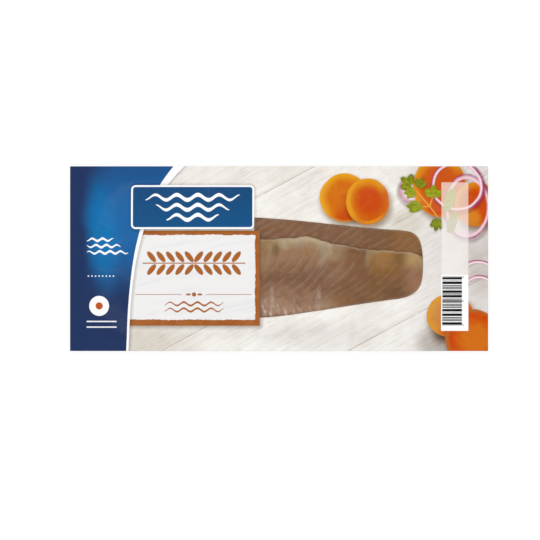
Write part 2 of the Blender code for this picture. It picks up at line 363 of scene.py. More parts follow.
def paint_carrot(paint, centre, half, slide, inner, outer, reach, amber, shade=0.90, side=CARROT_SIDE):
    """One cooked slice: its side shows where the face has slid away from its foot.

    The inner colour reaches a share of the way out, amber lights the rim and shade darkens the far side.
    """
    x, y = centre
    radius = min(half)
    edge = paint.shaken(*CARROT_WOBBLE)
    under = (x + CARROT_SHADOW_OFF[0], y + CARROT_SHADOW_OFF[1])
    paint_shadow(paint, paint.oval(under, half, 0.0, edge), 0.85, 0.0052, SHADOW_WARM)
    middle = (x + slide[0], y + slide[1])
    lit = ((paint.y - y) - (paint.x - x)).ramp(-1.3 * radius, 1.3 * radius)
    rim = paint.oval(centre, half, 0.0, edge)
    mottle = paint.noise(260.0, 4.0, 0.6)
    face = paint.blend(outer, CARROT_SHADE, lit.ramp(0.60, 0.05) * shade)
    core = paint.oval(middle, (half[0] * reach, half[1] * reach), 0.0, edge)
    face = paint.blend(face, inner, core.ramp(radius * 0.26, -radius * 0.26))
    face = paint.blend(face, CARROT_AMBER, rim.ramp(-0.0066, 0.0) * lit.ramp(0.20, 0.68) * amber)
    face = paint.blend(face, CARROT_AMBER, mottle.ramp(0.52, 0.75) * 0.15)
    face = paint.blend(face, CARROT_HEART, mottle.ramp(0.48, 0.25) * 0.30)
    side = paint.blend(side, CARROT_AMBER, lit.ramp(0.10, 0.70) * amber)
    paint.lay(side, fill(rim, 0.0004))
    inset = math.hypot(*slide) + 0.0004
    paint.lay(face, fill(paint.oval(middle, (half[0] - inset, half[1] - inset), 0.0, edge), 0.0014))


# Rings of red onion
ONION_WIDTH = 0.0021
ONION_WOBBLE = (45.0, 0.0012)
ONION_SHADOW_OFF = (0.0009, -0.0012)
ONION_SKIN = srgb(150, 52, 104)
ONION_PINK = srgb(226, 170, 190)
ONION_MILK = srgb(248, 232, 238)
ONION_SHADOW = srgb(196, 182, 182)


def paint_onion(paint, centre, half, shown=1.0, width=ONION_WIDTH, skin=1.0, thick=0.0, milk=0.9):
    """A thin oval ring of red onion: purple skin, as thick as asked at the right, round milky flesh."""
    x, y = centre
    edge = paint.shaken(*ONION_WOBBLE)
    ring = paint.oval(centre, half, 0.0, edge)
    under = paint.oval((x + ONION_SHADOW_OFF[0], y + ONION_SHADOW_OFF[1]), half, 0.0, edge)
    tint = paint.noise(160.0, 2.0, 0.5).ramp(0.35, 0.60, 0.45, 0.95)
    paint.shade(ONION_SHADOW, line(under, width, 0.0022) * 0.7 * shown)
    paint.lay(ONION_PINK, line(ring + width * 0.5, width, 0.0006) * 0.75 * shown)
    paint.lay(ONION_MILK, line(ring + width * 0.6, width * 0.35, 0.0007) * shown * milk)
    paint.lay(ONION_SKIN, line(ring, width * 0.30, 0.0005) * tint * shown * skin)
    if thick:
        right = (paint.x - x).ramp(half[0] * 0.35, half[0] * 0.85)
        paint.lay(ONION_SKIN, line(ring - 0.0004, thick, 0.0008) * right * tint * 0.8)


# The sprig on the carrots
LEAF_DARK = srgb(98, 108, 12)
LEAF_LIGHT = srgb(154, 162, 28)
LEAF_VEIN = srgb(184, 188, 76)
STALK = srgb(232, 160, 62)
STALK_WIDTH = 0.0008
LEAF_WOBBLE = (520.0, 0.0009)


def paint_leaflet(paint, root, angle, size, spread, dark, edge, tone):
    """Three rounded lobes that fan out from root, spread apart, with a vein along each."""
    shape = None
    for turn in (-1, 0, 1):
        heading = angle + turn * spread
        reach = size * (1.0 - 0.14 * abs(turn))
        centre = (root[0] + math.cos(heading) * reach * 0.56, root[1] + math.sin(heading) * reach * 0.56)
        lobe = paint.oval(centre, (reach * 0.46, size * (0.13 + 0.17 * spread)), heading, edge)
        shape = lobe if shape is None else shape.least(lobe)
    paint_shadow(paint, shape, 0.35, 0.002)
    paint.lay(paint.blend(LEAF_LIGHT, LEAF_DARK, tone * 0.6 + dark), fill(shape, 0.0005))
    u, v = paint.turned(angle, root)
    away = (u * u + v * v) ** 0.5
    ray = ((v.apply("ARCTAN2", u) / spread + 0.5).part() - 0.5).size() * away * spread
    vein = ray.ramp(0.00030, 0.0001) * away.ramp(size * 0.85, size * 0.6)
    paint.lay(LEAF_VEIN, vein * fill(shape + 0.0003) * 0.4)


def paint_stalk(paint, start, end):
    """A straight stalk from start to end."""
    length = math.dist(start, end)
    angle = math.atan2(end[1] - start[1], end[0] - start[0])
    u, v = paint.turned(angle, start)
    beyond = (u - length / 2).size() - length / 2
    paint.lay(STALK, fill(v.size().most(beyond) - STALK_WIDTH / 2, 0.0004))


LOW_ROOT = (0.0950, 0.0343)
RIGHT_ROOT = (0.1013, 0.0402)
LEAFLETS = (  # root, heading, length, spread of the lobes and how dark
    ((0.0879, 0.0480), 2.50, 0.0090, 0.76, 0.22),
    ((0.0921, 0.0466), 1.15, 0.0072, 0.62, 0.32),
    ((0.0906, 0.0438), 3.20, 0.0082, 0.46, -0.15),
    (LOW_ROOT, 3.14, 0.0108, 0.34, 0.00),
    (RIGHT_ROOT, 1.45, 0.0084, 0.78, -0.15),
    ((0.1050, 0.0270), 4.50, 0.0090, 0.48, 0.35),
)
FORK = (0.0994, 0.0345)
STALK_ENDS = ((0.0900, 0.0454), (0.1046, 0.0276), LOW_ROOT, RIGHT_ROOT)
SPREAD_LEAVES = (  # centre, half sizes and turn of the two leaves under the strip
    ((0.1126, 0.0386), (0.0036, 0.0080), -0.32),
    ((0.1142, 0.0238), (0.0032, 0.0076), -0.25),
)


def paint_sprig(paint):
    """A herb sprig: leaflets on stalks that meet."""
    for end in STALK_ENDS:
        paint_stalk(paint, end, FORK)
    edge = paint.shaken(*LEAF_WOBBLE)
    tone = paint.noise(330.0, 3.0, 0.6).ramp(0.32, 0.60)
    for centre, half, angle in SPREAD_LEAVES:
        leaf = paint.oval(centre, half, angle, edge)
        paint.lay(paint.blend(LEAF_LIGHT, LEAF_DARK, tone * 0.4), fill(leaf, 0.0006))
    for leaflet in LEAFLETS:
        paint_leaflet(paint, *leaflet, edge, tone)


# What is strewn on the boards
CARROT_MIDDLE = (0.0584, 0.0376)
CARROT_MIDDLE_HALF = (0.0143, 0.0155)
CARROT_LOW = (0.1300, 0.0357)
CARROT_LOW_HALF = (0.0142, 0.0146)
CARROTS = (  # as paint_carrot takes them
    ((0.0430, 0.0403), (0.0163, 0.0161), (0.0003, 0.0003), CARROT_HEART, CARROT_GOLD, 0.05, 1.0),
    (CARROT_MIDDLE, CARROT_MIDDLE_HALF, (0.0012, 0.0006), CARROT_HEART, CARROT_FACE, 0.62, 0.7, 0.35),
    ((0.1060, 0.0475), (0.0176, 0.0200), (0.0005, 0.0002), RUST, CARROT_FACE, 0.75, 0.6),
    (CARROT_LOW, CARROT_LOW_HALF, (0.0004, 0.0004), CARROT_HEART, CARROT_FACE, 0.85, 0.4),
    ((0.1128, -0.0375), (0.0155, 0.0144), (-0.0002, 0.0002), TAN_HEART, TAN_FACE, 0.62, 0.5),
    ((0.1287, -0.0528), (0.0190, 0.0192), (0.0010, -0.0004), ORANGE, CARROT_HEART, 0.60, 0.0, 0.90, BROWN),
)
GLEAM = ((0.1262, 0.0262), (0.0075, 0.0070))  # centre and half sizes of the pale place on the low slice
DARK_CORNERS = (  # centre, half sizes, strength and colour, beside the lowest slices
    ((0.1045, -0.0560), (0.0120, 0.0100), 0.50, SHADOW_BROWN),
    ((0.1075, -0.0515), (0.0034, 0.0034), 0.80, srgb(158, 124, 108)),
)
COVERED_RING = ((0.0882, 0.0452), (0.0088, 0.0086))  # centre and half sizes of the ring that a slice covers
SHADED_EDGE = ((0.1330, 0.0010), (0.0110, 0.0240))
ONION_ARCS = (((0.1318, -0.0140), (0.0130, 0.0130)), ((0.1321, -0.0232), (0.0120, 0.0120)))
ONION_RINGS = (  # centre, half sizes, width, how thick the purple side is and how milky the flesh
    ((0.1243, 0.0344), (0.0152, 0.0210), 0.0024, 0.0, 0.60),
    ((0.1176, 0.0476), (0.0174, 0.0162), ONION_WIDTH, 0.0016, 0.9),
)


def paint_carrots(paint):
    """Carrot slices strewn on the boards, one of them over an onion ring."""
    paint_onion(paint, *COVERED_RING, width=0.0052, skin=0.30, milk=1.0)
    for centre, half, strength, colour in DARK_CORNERS:
        paint_shadow(paint, paint.oval(centre, half), strength, 0.0080, colour)
    for carrot in CARROTS:
        paint_carrot(paint, *carrot)
    crescent = line(paint.oval(CARROT_MIDDLE, CARROT_MIDDLE_HALF) + 0.0017, 0.0014, 0.0010)
    low = (paint.y - CARROT_MIDDLE[1]).ramp(-0.0070, -0.0115)
    paint.lay(CARROT_AMBER, crescent * low * (paint.x - CARROT_MIDDLE[0]).ramp(-0.0060, 0.0010) * 0.5)
    gleam = paint.oval(*GLEAM).ramp(0.0020, -0.0030)
    paint.lay(CARROT_GLEAM, gleam * fill(paint.oval(CARROT_LOW, CARROT_LOW_HALF) + 0.0008, 0.001) * 0.9)


def paint_onions(paint):
    """The shaded boards at the right edge and the onion on them."""
    paint.shade(srgb(235, 232, 231), paint.oval(*SHADED_EDGE).ramp(0.004, -0.006))
    beside_strip = paint.x.ramp(STRIP_X[1], STRIP_X[1] + 0.0004) * paint.y.ramp(-0.0220, -0.0150)
    for centre, half in ONION_ARCS:
        paint_onion(paint, centre, half, beside_strip)
    for centre, half, width, thick, milk in ONION_RINGS:
        paint_onion(paint, centre, half, width=width, thick=thick, milk=milk)


# The code field at the right: a translucent strip over a box of plain bars
STRIP_X = (0.1072, 0.1250)
CODE_X = (0.1070, 0.1250)
STRIP_Y = (-0.0107, 0.0504)
CODE_Y = (-0.0477, -0.0107)
BAR_X = (0.1077, 0.1208)
BAR_Y = (-0.0437, -0.0122)
BAR_MODULE = 0.00034
BAR_GUARD = 0.0012  # how much further the guard bars reach
BAR_BEATS = (1.93, 0.71)  # two waves that don't fall in step make the rhythm
BAR_BLACK = srgb(18, 18, 20)


def paint_code_field(paint):
    """A translucent white strip, and a white box with plain bars in a made-up rhythm."""
    upper = paint.y.ramp(0.022, 0.032)
    veil = paint.blend(srgb(244, 238, 235), srgb(252, 242, 226), upper)
    paint.lay(veil, fill(paint.box(STRIP_X, STRIP_Y)) * upper.ramp(0.0, 1.0, 0.62, 0.52))
    paint.lay(srgb(253, 253, 252), fill(paint.box(CODE_X, CODE_Y)))
    module = ((paint.y - BAR_Y[0]) / BAR_MODULE).whole()
    wave = (module * BAR_BEATS[0]).sine() + (module * BAR_BEATS[1] + 0.4).sine() * 0.8
    paint.lay(BAR_BLACK, wave.ramp(-0.25, -0.2499) * fill(paint.box(BAR_X, BAR_Y), 0.0001))
    for middle in (BAR_Y[0], (BAR_Y[0] + BAR_Y[1]) / 2, BAR_Y[1]):
        for side in (-BAR_MODULE, BAR_MODULE):
            guard = (middle + side - BAR_MODULE / 3, middle + side + BAR_MODULE / 3)
            paint.lay(BAR_BLACK, fill(paint.box((BAR_X[0], BAR_X[1] + BAR_GUARD), guard), 0.0001))


def paint_wave(paint, colour, centre, half, length, height, width):
    """A wavy stroke about a centre that thins out towards its ends."""
    x = paint.x - centre[0]
    wave = (x * (math.tau / length)).sine() * height + centre[1]
    body = (1.0 - (x / half) ** 2).most(0.0) ** 0.5 * (width / 2)
    paint.lay(colour, fill((paint.y - wave).size() - body, 0.0003) * body.ramp(0.0, width * 0.15))


# The label: an off-white panel in an orange-brown frame
FRAME_X = (-0.1300, -0.0127)
FRAME_Y = (-0.0442, 0.0184)
PANEL_X = (-0.1300, -0.0158)
PANEL_Y = (-0.0402, 0.0156)
FRAME_BROWN = srgb(168, 99, 45)
PANEL_LIGHT = srgb(237, 236, 235)
PANEL_GREY = srgb(226, 226, 228)
FRAME_DARK = srgb(154, 82, 30)
ORNAMENT_X = -0.0560
RULE_Y = -0.0236
RULE_HALF = 0.00022
RULES_X = ((-0.0947, -0.0640), (-0.0480, -0.0180))
BEADS = (  # X from the ornaments' middle, and half sizes
    (-0.0038, (0.0016, 0.0007)),
    (0.0000, (0.0014, 0.0014)),
    (0.0038, (0.0016, 0.0007)),
)
LABEL_WAVES_Y = (-0.0298, -0.0338)
LABEL_WAVE = (0.0200, 0.0090, 0.0011, 0.0014)  # half the row's length, and a wave's length, height and width
PANEL_TORN = 0.0018
PANEL_UNEVEN = 0.0012


def paint_label(paint):
    """The panel with its torn-edged frame, its soft printed shadow and plain ornaments on it."""
    shadow = paint.box((FRAME_X[0], FRAME_X[1] + 0.0008), (FRAME_Y[0] - 0.0008, FRAME_Y[1]), 0.001)
    paint_shadow(paint, shadow, 0.75, 0.0040)
    rough = paint.noise(420.0, 3.0, 0.6) - 0.5
    broad = paint.noise(90.0, 2.0, 0.5) - 0.5
    tone = paint.noise(150.0, 3.0, 0.5).ramp(0.4, 0.65)
    paint.lay(paint.blend(FRAME_BROWN, FRAME_DARK, tone * 0.6), fill(paint.box(FRAME_X, FRAME_Y, 0.0006)))
    inner = paint.box(PANEL_X, PANEL_Y, 0.0003) + rough * PANEL_TORN + broad * PANEL_UNEVEN
    paint.lay(PANEL_LIGHT, fill(inner, 0.0004))
    along, across = paint.turned(math.radians(12.0))
    streaks = paint.noise(240.0, 3.0, 0.5, at=paint.point(along * 0.08, across))
    paint.lay(PANEL_GREY, fill(inner + 0.0004, 0.0004) * streaks.ramp(0.45, 0.70) * 0.7)
    for x_range in RULES_X:
        paint.lay(FRAME_BROWN, fill(paint.box(x_range, (RULE_Y - RULE_HALF, RULE_Y + RULE_HALF))) * 0.85)
    for off, half in BEADS:
        paint.lay(FRAME_BROWN, fill(paint.oval((ORNAMENT_X + off, RULE_Y), half)))
    for level in LABEL_WAVES_Y:
        paint_wave(paint, FRAME_BROWN, (ORNAMENT_X, level), *LABEL_WAVE)


# A plain branch of leaves in pairs
BRANCH_Y = -0.0030
LEAF_PITCH = 0.0062
LEAF_PAIRS = 5
BRANCH_HALF = LEAF_PITCH * (LEAF_PAIRS + 0.4)
LEAF_LEAN = 0.9
LEAF_HALF = (0.0043, 0.0017)
LEAF_OFF = 0.0042  # from the stem to a leaf's middle


def paint_branch(paint):
    """The branch, mirrored about its middle and about its stem."""
    away = (paint.x - ORNAMENT_X).size()
    up = (paint.y - BRANCH_Y).size()
    paint.lay(FRAME_BROWN, fill(up.most(away - BRANCH_HALF) - 0.00035))
    cell = ((away / LEAF_PITCH).part() - 0.5) * LEAF_PITCH
    u = cell * math.cos(LEAF_LEAN) + (up - LEAF_OFF) * math.sin(LEAF_LEAN)
    v = (up - LEAF_OFF) * math.cos(LEAF_LEAN) - cell * math.sin(LEAF_LEAN)
    leaf = (((u / LEAF_HALF[0]) ** 2 + (v / LEAF_HALF[1]) ** 2) ** 0.5 - 1.0) * LEAF_HALF[1]
    paint.lay(FRAME_BROWN, fill(leaf.most(away - LEAF_PITCH * LEAF_PAIRS)))


# The badge over the label: a plain rounded board with waves on it
BADGE_X = (-0.0976, -0.0164)
BADGE_Y = (0.0195, 0.0485)
BADGE_CORNER = 0.0030
BADGE_EDGE = 0.0012
BADGE_TOP = srgb(20, 72, 120)
BADGE_FOOT = srgb(22, 82, 132)
INK_WHITE = srgb(250, 252, 254)
BADGE_WAVES = ((0.0404, 0.0315), (0.0338, 0.0245), (0.0272, 0.0175))  # Y and half length of each row
BADGE_WAVE = (0.0140, 0.0017, 0.0027)  # length, height and width


def paint_badge(paint):
    """A blue board with a white edge and three rows of waves."""
    shadow = paint.box((BADGE_X[0] + 0.0005, BADGE_X[1]), (BADGE_Y[0] - 0.0008, BADGE_Y[1]), BADGE_CORNER)
    paint_shadow(paint, shadow, 0.6, 0.0035)
    board = paint.box(BADGE_X, BADGE_Y, BADGE_CORNER)
    paint.lay(INK_WHITE, fill(board))
    depth = paint.y.ramp(BADGE_Y[0], BADGE_Y[1])
    paint.lay(paint.blend(BADGE_FOOT, BADGE_TOP, depth), fill(board + BADGE_EDGE))
    middle = (BADGE_X[0] + BADGE_X[1]) / 2
    for level, half in BADGE_WAVES:
        paint_wave(paint, INK_WHITE, (middle, level), half, *BADGE_WAVE)


# The blue field at the left and the white band along it, whose edges fall away from the top exponentially
FIELD_FOOT = -0.1022
FIELD_REACH = 0.0326
FIELD_FADE = 0.0376
BAND_FOOT = -0.1007
BAND_REACH = 0.0383
BAND_FADE = 0.0355
NAVY = srgb(33, 52, 94)
SEA_BLUE = srgb(28, 98, 160)
SKY_BLUE = srgb(10, 116, 178)
GLOWS = (  # centre, half sizes and strength of the field's bright places
    ((-0.1168, 0.0205), (0.0102, 0.0280), 0.80),
    ((-0.1165, -0.0010), (0.0080, 0.0200), 0.45),
)
GLOW_TURN = 0.15
GLOW_WOBBLE = (30.0, 0.0050)
LEFT_MARGIN = -0.1272
FIELD_WAVES = ((0.0125, 0.0090), (0.0083, 0.0115), (0.0041, 0.0140))  # Y and half length of each row
FIELD_WAVE = (0.0070, 0.0008, 0.0016)
DOT_Y = -0.0115
DOT_PITCH = 0.0024
DOT_COUNT = 8
DISC = (-0.1188, -0.0312)
DISC_RADIUS = 0.0066
DISC_HEART = 0.0024
DISC_BROWN = srgb(190, 84, 34)
FIELD_RULES_Y = (-0.0415, -0.0452)
FIELD_RULE_LENGTH = 0.0200
FIELD_RULE_HALF = 0.00045


def swept_edge(paint, foot, reach, fade):
    """How far a point lies to the right of an edge that sweeps up to the right."""
    return paint.x - ((paint.y - HIGH.y) / fade).apply("EXPONENT") * reach - foot


def paint_blue_field(paint):
    """The field with a soft glow, and its white band."""
    band = swept_edge(paint, BAND_FOOT, BAND_REACH, BAND_FADE)
    paint.shade(srgb(186, 182, 182), band.ramp(0.0030, -0.0005) * 0.75)
    paint.lay(srgb(254, 254, 254), fill(band))
    field = swept_edge(paint, FIELD_FOOT, FIELD_REACH, FIELD_FADE)
    smoke = (paint.noise(26.0, 3.0, 0.5) - 0.5) * 0.016
    lean = paint.y.ramp(0.0300, 0.0600) * 0.0056
    across = (paint.x + smoke - lean).ramp(-0.1318, -0.1120)
    up = (paint.y + smoke).ramp(-0.0300, 0.0140) * paint.y.ramp(0.0300, 0.0720, 1.0, 0.45)
    glow = paint.blend(NAVY, SEA_BLUE, across * up)
    shaken = paint.shaken(*GLOW_WOBBLE)
    for centre, half, strength in GLOWS:
        bright = paint.oval(centre, half, GLOW_TURN, shaken).ramp(0.0050, -0.0080)
        glow = paint.blend(glow, SKY_BLUE, bright * strength)
    paint.lay(glow, fill(field))


def paint_field_ornaments(paint):
    """Small plain ornaments on the blue field: waves, a row of dots, a disc and two rules."""
    for level, half in FIELD_WAVES:
        paint_wave(paint, INK_WHITE, (LEFT_MARGIN + half, level), half, *FIELD_WAVE)
    step = (paint.x - LEFT_MARGIN) / DOT_PITCH
    dots = ((step.part() - 0.5) * DOT_PITCH) ** 2 + (paint.y - DOT_Y) ** 2
    in_row = fill((step - DOT_COUNT / 2).size() - DOT_COUNT / 2, 0.01)
    paint.lay(INK_WHITE, dots.ramp(0.0006**2, 0.0004**2) * in_row * 0.9)
    for radius, colour in ((DISC_RADIUS, INK_WHITE), (DISC_HEART, DISC_BROWN)):
        paint.lay(colour, fill(paint.oval(DISC, (radius, radius))))
    for level in FIELD_RULES_Y:
        across = (LEFT_MARGIN, LEFT_MARGIN + FIELD_RULE_LENGTH)
        rule = paint.box(across, (level - FIELD_RULE_HALF, level + FIELD_RULE_HALF), 0.0004)
        paint.lay(INK_WHITE, fill(rule) * 0.85)


PRINT_LAYERS = (
    paint_boards,
    paint_carrots,
    paint_onions,
    paint_sprig,
    paint_code_field,
    paint_label,
    paint_branch,
    paint_blue_field,
    paint_field_ornaments,
    paint_badge,
)


def printed_film_material():
    """Satin film with the whole print on it."""
    made, shader = new_material("printed_film", {"Specular IOR Level": 0.14})
    paint = Paint(made.node_tree, BOARD_LIGHT)
    for painter in PRINT_LAYERS:
        paint.layer(painter)
    # Painted shade: the print turns darker and warmer within a millimetre of the window's edge
    paint.shade(srgb(248, 232, 216), paint.attribute("window_distance").ramp(0.0008, 0.0001) * 0.6)
    satin = paint.noise(120.0, 3.0, 0.5).ramp(0.3, 0.7, 0.28, 0.40)
    plug_all(paint.tree, shader, {"Base Color": paint.colour, "Roughness": satin})
    bump(paint.tree, shader, paint.noise(700.0, 3.0, 0.6), 0.00002)
    return made


# How much of the clear film is gloss
GLOSS_FACE_ON = 0.022
GLOSS_SLANTED = 0.55
GLOSS_ONSET = 4.0  # the higher, the later it comes
CLEAR_TINT = (0.985, 0.985, 0.98, 1.0)


def clear_film_material():
    """Clear glossy film: see-through face on and more reflective at a slant."""
    made = bpy.data.materials.new("clear_film")
    made.use_nodes = True
    tree = made.node_tree
    tree.nodes.remove(tree.nodes["Principled BSDF"])
    clear = new_node(tree, "BsdfTransparent", {"Color": CLEAR_TINT})
    gloss = new_node(tree, "BsdfGlossy", {"Roughness": 0.11})
    slant = Field(tree, new_node(tree, "LayerWeight").outputs["Facing"])
    share = slant**GLOSS_ONSET * GLOSS_SLANTED + GLOSS_FACE_ON
    both = new_node(tree, "MixShader", (share, clear.outputs[0], gloss.outputs[0]))
    plug(tree, both.outputs[0], tree.nodes["Material Output"].inputs["Surface"])
    return made


def backing_material():
    """Plain white satin film."""
    made, shader = new_material("backing_film", {"Roughness": 0.40, "Specular IOR Level": 0.30})
    paint = Paint(made.node_tree, srgb(236, 236, 234))
    paint.shade(srgb(240, 240, 238), paint.noise(18.0, 2.0, 0.5).ramp(0.4, 0.6))
    plug(paint.tree, paint.colour, shader.inputs["Base Color"])
    bump(paint.tree, shader, paint.noise(500.0, 3.0, 0.6), 0.00003)
    return made


FLESH_LOOKS = {
    "Specular IOR Level": 0.22,
    "Subsurface Weight": 0.12,
    "Subsurface Radius": (0.0020, 0.0010, 0.0006),
}

# Flesh colours, as they show through the window
FLESH = srgb(137, 97, 69)
FLESH_TAIL = srgb(139, 98, 58)
TAIL_AMBER = srgb(154, 109, 62)
FLESH_LIGHT = srgb(170, 133, 102)
FLESH_DARK = srgb(113, 76, 50)
FLESH_FOOT = srgb(180, 144, 118)
MUSCLE_PALE = srgb(178, 144, 120)
BELLY_BEIGE = srgb(164, 134, 92)
BELLY_PALE = srgb(188, 166, 131)
BELLY_GREY = srgb(176, 164, 140)
# pale flesh of the belly edge, and the painted highlight along it
BELLY_RIM_AND_HIGHLIGHT = srgb(204, 182, 152)
PALE_STREAK = srgb(214, 198, 192)
FRONT_TAIL = 0.0590  # X where the front fillet turns to the colour of its tail
BACK_TAIL = 0.0690

MARK_WOBBLE = (85.0, 0.0026, 3.0)

# Marks on the front fillet: centre, half sizes, turn, colour and strength
MARKS = (
    ((-0.0066, 0.0090), (0.0020, 0.0048), 0.1, srgb(164, 140, 82), 0.55),  # golden streak by the label
    ((0.0037, 0.0098), (0.0022, 0.0042), 0.0, srgb(180, 170, 140), 0.55),  # green-grey patches of the belly
    ((0.0285, 0.0076), (0.0026, 0.0042), -0.2, srgb(160, 152, 126), 0.55),
    ((0.0087, 0.0080), (0.0030, 0.0030), 0.0, srgb(176, 148, 104), 0.45),  # beige patches of the belly
    ((0.0216, 0.0090), (0.0028, 0.0034), 0.0, srgb(164, 138, 98), 0.60),
    ((0.0172, 0.0034), (0.0038, 0.0030), 0.3, srgb(172, 122, 78), 0.50),  # orange patches of the flank
    ((0.0353, -0.0038), (0.0030, 0.0046), -0.4, srgb(150, 100, 72), 0.55),
    ((0.0010, -0.0118), (0.0130, 0.0030), 0.1, srgb(112, 74, 48), 0.45),  # dark band along the middle
    ((0.0222, -0.0106), (0.0090, 0.0038), 0.2, srgb(122, 94, 80), 0.45),  # violet-grey middle
    ((-0.0026, 0.0056), (0.0023, 0.0040), 0.0, srgb(112, 84, 46), 0.65),  # olive spot
    ((-0.0085, 0.0000), (0.0040, 0.0080), 0.0, srgb(162, 134, 98), 0.60),  # pale patch by the label
    ((0.0300, 0.0030), (0.0030, 0.0075), -0.35, srgb(176, 158, 134), 0.75),  # milky patch
    ((0.0390, 0.0030), (0.0065, 0.0050), 0.0, srgb(166, 138, 104), 0.60),
    ((0.0488, 0.0020), (0.0072, 0.0090), 0.0, srgb(138, 95, 56), 0.90),  # brown gap
    ((0.0508, 0.0050), (0.0052, 0.0024), 0.0, srgb(118, 80, 42), 0.60),  # dark amber edge of the gap
    ((0.0562, 0.0030), (0.0018, 0.0045), 0.0, srgb(100, 78, 50), 0.65),  # dark end of the gap
    ((0.0592, 0.0006), (0.0024, 0.0066), -0.3, srgb(164, 144, 110), 0.80),  # grey-green patch
    ((0.0720, -0.0010), (0.0115, 0.0085), 0.0, srgb(172, 121, 48), 0.85),  # amber flank
    ((0.0790, -0.0005), (0.0048, 0.0062), 0.3, srgb(128, 86, 42), 0.70),  # dark smear
    ((0.0914, -0.0006), (0.0074, 0.0058), 0.0, srgb(197, 167, 110), 0.94),  # pale yellow end
    ((0.0780, -0.0230), (0.0100, 0.0060), 0.15, srgb(112, 78, 54), 0.60),  # dark lower end
    ((0.0902, -0.0140), (0.0070, 0.0105), 0.0, srgb(178, 136, 112), 0.72),  # rosy end
    ((0.0325, -0.0325), (0.0100, 0.0040), 0.15, srgb(178, 150, 118), 0.65),  # pale lower edge
    ((0.0410, -0.0282), (0.0065, 0.0036), 0.15, srgb(148, 99, 60), 0.70),  # amber foot
    ((0.0455, -0.0290), (0.0007, 0.0018), 0.3, srgb(100, 58, 34), 0.60),  # short dark nick
    ((0.0160, -0.0022), (0.0022, 0.0046), -0.5, srgb(184, 142, 112), 0.50),  # pale streak of the flank
    ((-0.0075, -0.0340), (0.0030, 0.0036), 0.0, srgb(164, 118, 82), 0.50),  # patches of the foot
    ((-0.0045, -0.0240), (0.0032, 0.0030), 0.0, srgb(144, 106, 82), 0.40),
    ((0.0000, -0.0348), (0.0048, 0.0026), 0.05, srgb(204, 170, 148), 0.55),
    ((0.0022, -0.0215), (0.0040, 0.0036), 0.0, srgb(176, 138, 114), 0.45),
)
TINTS = (  # colours that mottle the flesh, and the level at which each is read off the noise
    (srgb(164, 120, 104), 3.1),  # rosy
    (srgb(150, 132, 100), 7.3),  # olive
    (srgb(150, 96, 54), 11.9),  # amber
)
STREAKS = (  # centre, half length and turn of the pale streaks at the foot
    ((-0.0052, -0.0300), 0.0095, 0.03),
    ((-0.0095, -0.0330), 0.0055, -0.05),
    ((0.0262, -0.0290), 0.0080, -0.02),
)


def flesh_material(name, front):
    """Moist smoked flesh in muscle segments, and on the front fillet its pale belly edge and its marks."""
    made, shader = new_material(name, FLESH_LOOKS)
    paint = Paint(made.node_tree, FLESH)
    mottle = paint.noise(90.0, 4.0, 0.55)
    fine = paint.noise(620.0, 3.0, 0.6, at=paint.point(paint.x * 0.6, paint.y))
    tail = FRONT_TAIL if front else BACK_TAIL
    paint.lay(FLESH_TAIL, (paint.x + (mottle - 0.5) * 0.010).ramp(tail - 0.0030, tail + 0.0030) * 0.90)
    if front:
        paint_belly(paint, mottle)
    else:
        paint.lay(TAIL_AMBER, paint.x.ramp(0.0720, 0.0800) * 0.90)
    paint.lay(FLESH_DARK, mottle.ramp(0.50, 0.72) * 0.34)
    for colour, level in TINTS:
        patch = paint.noise(140.0, 3.0, 0.6, at=paint.point(paint.x, paint.y, level))
        paint.lay(colour, patch.ramp(0.50, 0.70) * 0.28)
    paint_muscle(paint, front)
    paint.shade(srgb(216, 206, 198), fine.ramp(0.48, 0.75) * 0.28)
    paint.shade(srgb(246, 241, 231), paint.x.ramp(tail - 0.029, tail - 0.004))
    # Painted light: lifts the flesh within 1.6 mm of the window's edge, except beside the label, against the
    # printed film's shade
    away_from_label = paint.x.ramp(WINDOW_LEFT + 0.0010, WINDOW_LEFT + 0.0040)
    paint.lay(srgb(236, 208, 186), paint.attribute("window_distance").ramp(0.0016, 0.0) * away_from_label * 0.15)
    plug_all(paint.tree, shader, {"Base Color": paint.colour, "Roughness": fine.ramp(0.3, 0.7, 0.30, 0.46)})
    bump(paint.tree, shader, fine, 0.00005)
    return made


def paint_muscle(paint, front):
    """Segments that lighten towards the pale thin lines between them, with fibres that run the same way."""
    muscle = paint.attribute("muscle") + (paint.noise(210.0, 2.0, 0.5) - 0.5) * 0.12
    part = muscle.part()
    near_line = (part - 0.5).size() * 2.0
    shown = paint.noise(140.0, 3.0, 0.6).ramp(0.36, 0.60, 0.10, 1.0) * paint.x.ramp(0.052, 0.076, 1.0, 0.65)
    fibre = paint.noise(1.0, 3.0, 0.6, at=paint.point(muscle * 4.5, paint.y * 70.0))
    if front:
        shown = shown * paint.attribute("belly").ramp(0.0020, 0.0120, 0.25, 1.0)
        shown = shown * paint.y.ramp(-0.0330, -0.0200, 0.10, 1.0)
    # Painted shade: each segment darkens towards the next pale line, where one flake shades the next
    paint.lay(FLESH_DARK, part.ramp(0.40, 0.76) * part.ramp(0.97, 0.80) * shown * 0.20)
    paint.lay(FLESH_DARK, fibre.ramp(0.47, 0.30) * 0.16)
    paint.lay(MUSCLE_PALE, fibre.ramp(0.53, 0.70) * 0.18)
    paint.lay(MUSCLE_PALE, near_line.ramp(0.20, 1.00) * shown * 0.20)
    paint.lay(MUSCLE_PALE, near_line.ramp(0.80, 0.98) * shown * 0.25)


